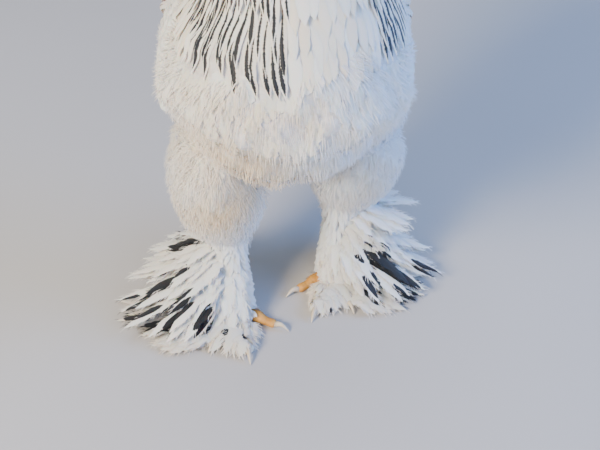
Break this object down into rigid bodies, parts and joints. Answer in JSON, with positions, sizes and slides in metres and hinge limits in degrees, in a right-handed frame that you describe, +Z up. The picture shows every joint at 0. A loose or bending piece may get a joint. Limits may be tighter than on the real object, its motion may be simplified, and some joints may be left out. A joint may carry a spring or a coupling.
{
  "type": "brahma chicken",
  "caption": "Life-size standing brahma cock with draped neck hackle, folded wings, fanned tail, and feathered shanks and toes.",
  "frame": {"origin": "on the floor, under the middle of the bird's bounding box", "axes": "+Z up, the bird faces -Y, +X is the bird's left side"},
  "size_m": [0.3807, 0.5335, 0.6626],
  "materials": {
    "white_plumage": "soft white feathers, matt",
    "black_plumage": "black feathers with a green sheen",
    "red_skin": "grained red skin",
    "beak_horn": "smooth yellow horn",
    "toe_scales": "yellow scaled skin",
    "claw_horn": "smooth pale horn",
    "eye": "wet, glossy"
  },
  "bodies": {
    "root": {"head": "white_plumage", "neck": "white_plumage", "torso": "white_plumage", "wing_right": "white_plumage", "wing_left": "white_plumage", "thigh_right": "white_plumage", "thigh_left": "white_plumage", "shank_right": "white_plumage", "shank_left": "white_plumage", "tail": "black_plumage", "comb": "red_skin", "wattle_right": "red_skin", "wattle_left": "red_skin", "earlobe_right": "red_skin", "earlobe_left": "red_skin", "beak_upper": "beak_horn", "beak_lower": "beak_horn", "foot_right": "toe_scales", "foot_left": "toe_scales", "claw_right_inner": "claw_horn", "claw_right_middle": "claw_horn", "claw_right_outer": "claw_horn", "claw_right_hind": "claw_horn", "claw_left_inner": "claw_horn", "claw_left_middle": "claw_horn", "claw_left_outer": "claw_horn", "claw_left_hind": "claw_horn", "eye_right": "eye", "eye_left": "eye"}
  },
  "joints": []
}
